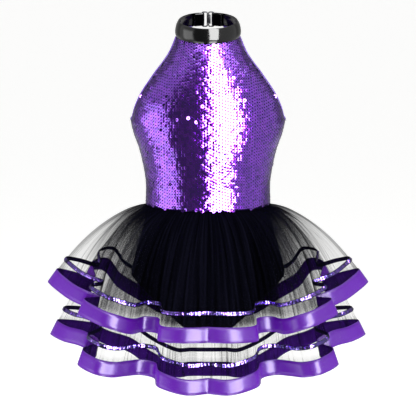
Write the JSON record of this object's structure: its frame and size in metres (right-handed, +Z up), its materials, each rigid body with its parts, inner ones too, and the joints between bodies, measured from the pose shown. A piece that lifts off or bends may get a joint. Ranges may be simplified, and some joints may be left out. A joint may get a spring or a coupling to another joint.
{
  "type": "skirted leotard",
  "caption": "Child's sleeveless halter leotard with a collar and back clasp, a sequinned front, an open back, a brief and a two-tier tulle skirt hemmed with ribbon.",
  "frame": {"origin": "middle of the neck inside the collar, where the wearer holds the garment up", "axes": "+Z up along the neck, -Y out of the garment's front, +X to its left side as worn"},
  "size_m": [0.515, 0.3658, 0.6075],
  "materials": {
    "patent": "glossy black patent",
    "steel": "satin nickel",
    "sequins": "glossy purple sequins on stretch mesh",
    "binding": "purple stretch binding",
    "stretch": "purple stretch jersey with a soft sheen",
    "jersey": "matt black stretch jersey",
    "tulle": "sheer black tulle",
    "satin": "purple satin ribbon",
    "trim": "dark purple sequin trim"
  },
  "bodies": {
    "root": {"collar_band": "patent", "clasp_hook": "steel", "clasp_loop": "steel", "bodice_front": "sequins", "bodice_back": "stretch", "armhole_binding_left": "binding", "armhole_binding_right": "binding", "keyhole_binding": "binding", "brief_front": "jersey", "brief_back": "jersey", "upper_tulle_front": "tulle", "upper_tulle_back": "tulle", "upper_sequin_trim": "trim", "upper_ribbon": "satin", "lower_tulle_front": "tulle", "lower_tulle_back": "tulle", "lower_sequin_trim": "trim", "lower_ribbon": "satin"}
  },
  "joints": []
}
